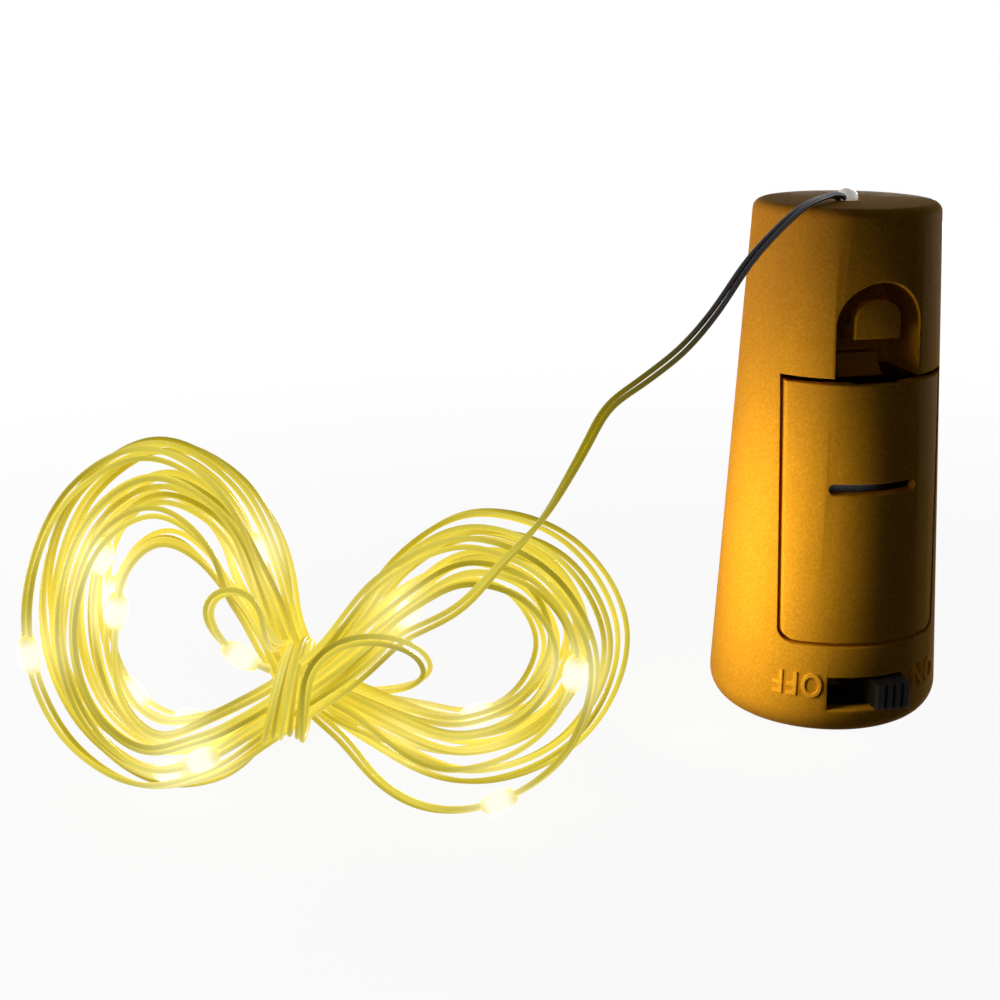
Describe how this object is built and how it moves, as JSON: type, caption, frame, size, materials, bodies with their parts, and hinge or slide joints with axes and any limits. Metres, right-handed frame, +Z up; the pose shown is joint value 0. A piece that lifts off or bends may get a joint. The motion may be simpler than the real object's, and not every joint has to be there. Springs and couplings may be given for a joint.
{
  "type": "fairy lights",
  "caption": "Cork-shaped battery pack with a side cover and a slide switch, and a thin light string wound into a tied bow, lit by small resin drops.",
  "frame": {"origin": "centre of the pack's wide end, on the cap that it stands on", "axes": "+Z up along the pack's axis to the narrow end where the string leaves, -Y out of the battery cover and the switch"},
  "size_m": [0.0802, 0.0305, 0.0467],
  "materials": {
    "gold_plastic": "satin with a fine texture",
    "black_plastic": "satin",
    "board": "pressed paper",
    "cell_steel": "bright",
    "contact_brass": "bright",
    "glue": "waxy",
    "wire": "glossy lacquer",
    "led_resin": "clear resin, lit",
    "chip": "satin"
  },
  "bodies": {
    "pack": {"housing": "gold_plastic", "base_cap": "gold_plastic", "cell_1": "cell_steel", "cell_2": "cell_steel", "cell_3": "cell_steel", "negative_plate": "contact_brass", "positive_contact": "contact_brass", "negative_spring": "cell_steel", "switch_can": "black_plastic", "switch_wafer": "board", "switch_board": "board", "switch_terminal_1": "contact_brass", "switch_terminal_2": "contact_brass", "switch_terminal_3": "contact_brass", "series_resistor": "chip", "lead_spring": "wire", "lead_return": "wire", "lead_positive": "wire", "exit_glue": "glue", "string_lead": "wire", "string_hank": "wire", "hank_wrap": "wire", "led_01": "led_resin", "led_02": "led_resin", "led_03": "led_resin", "led_04": "led_resin", "led_05": "led_resin", "led_06": "led_resin", "led_07": "led_resin", "led_08": "led_resin", "led_09": "led_resin", "led_10": "led_resin", "led_11": "led_resin", "led_12": "led_resin", "led_13": "led_resin", "led_14": "led_resin", "led_15": "led_resin"},
    "slider": {"switch_slider": "black_plastic", "switch_wiper": "contact_brass"},
    "cover": {"battery_cover": "gold_plastic"},
    "latch": {"cover_latch": "gold_plastic"}
  },
  "joints": [
    {"name": "switch_slide", "type": "slide", "parent": "pack", "child": "slider", "axis": [1, 0, 0], "range_m": [-0.0035, 0]},
    {"name": "cover_hinge", "type": "hinge", "parent": "pack", "child": "cover", "pos_m": [0, -0.00979, 0.0089], "axis": [1, 0, 0], "range_deg": [0, 60]},
    {"name": "latch_press", "type": "hinge", "parent": "cover", "child": "latch", "pos_m": [0, -0.0027, 0.0329], "axis": [1, 0, 0], "range_deg": [0, 10], "stiffness_Nm_per_rad": 0.02}
  ]
}
